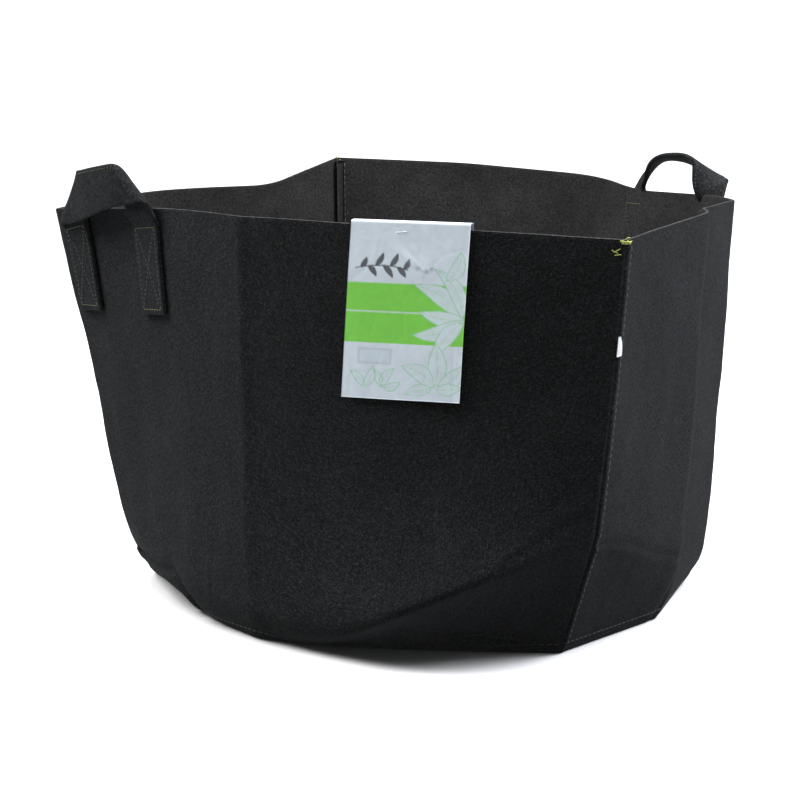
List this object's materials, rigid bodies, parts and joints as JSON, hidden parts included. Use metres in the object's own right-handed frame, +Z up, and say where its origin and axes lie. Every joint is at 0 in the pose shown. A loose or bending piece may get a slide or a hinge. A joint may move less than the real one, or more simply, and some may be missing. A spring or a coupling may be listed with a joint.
{
  "type": "fabric grow bag",
  "caption": "Round open-top fabric grow bag of dark felt standing empty in soft folds, with sewn strap handles, a card label stapled over its rim and a small woven tag in a seam.",
  "frame": {"origin": "centre of the base on the floor under it, at mount base_rest", "axes": "+Z up from the floor, -Y towards the front with the label, +X to the right as seen from the front"},
  "size_m": [0.8005, 0.83, 0.5136],
  "materials": {
    "felt": "matte needle-punched felt, charcoal with fine pale fibres",
    "strap": "matte doubled felt strap, a little paler than the wall",
    "seam_thread": "matte grey-green thread",
    "tack_thread": "matte yellow-green thread",
    "card": "coated card, creased, with a plain green band",
    "steel": "bright wire",
    "ribbon": "white woven ribbon"
  },
  "bodies": {
    "root": {"front_wall_panel": "felt", "rear_wall_panel": "felt", "base_panel": "felt", "left_handle_front_tab": "strap", "left_handle_rear_tab": "strap", "right_handle_front_tab": "strap", "right_handle_rear_tab": "strap", "front_seam_thread": "seam_thread", "rear_seam_thread": "seam_thread", "base_seam_thread": "seam_thread", "front_seam_bartack": "tack_thread", "rear_seam_bartack": "tack_thread", "left_handle_front_stitching": "seam_thread", "left_handle_rear_stitching": "seam_thread", "right_handle_front_stitching": "seam_thread", "right_handle_rear_stitching": "seam_thread", "label_back_leaf": "card", "label_staple": "steel"},
    "left_handle": {"left_handle_loop": "strap"},
    "right_handle": {"right_handle_loop": "strap"},
    "label_leaf": {"label_front_leaf": "card"},
    "seam_tag": {"woven_tag": "ribbon"}
  },
  "joints": [
    {"name": "left_handle_swing", "type": "hinge", "parent": "root", "child": "left_handle", "pos_m": [-0.32871, -0.08985, 0.46737], "axis": [-0.6462, 0.7585, -0.0843], "range_deg": [-35, 105]},
    {"name": "right_handle_swing", "type": "hinge", "parent": "root", "child": "right_handle", "pos_m": [0.34524, 0.20301, 0.45771], "axis": [0.4304, -0.9017, 0.041], "range_deg": [-70, 92]},
    {"name": "label_lift", "type": "hinge", "parent": "root", "child": "label_leaf", "pos_m": [0.01107, -0.35164, 0.461], "axis": [-0.9482, 0.3161, 0.0316], "range_deg": [0, 95]},
    {"name": "tag_turn", "type": "hinge", "parent": "root", "child": "seam_tag", "pos_m": [0.22436, -0.39365, 0.35032], "axis": [-0.0643, 0.0643, -0.9959], "range_deg": [0, 170]}
  ]
}
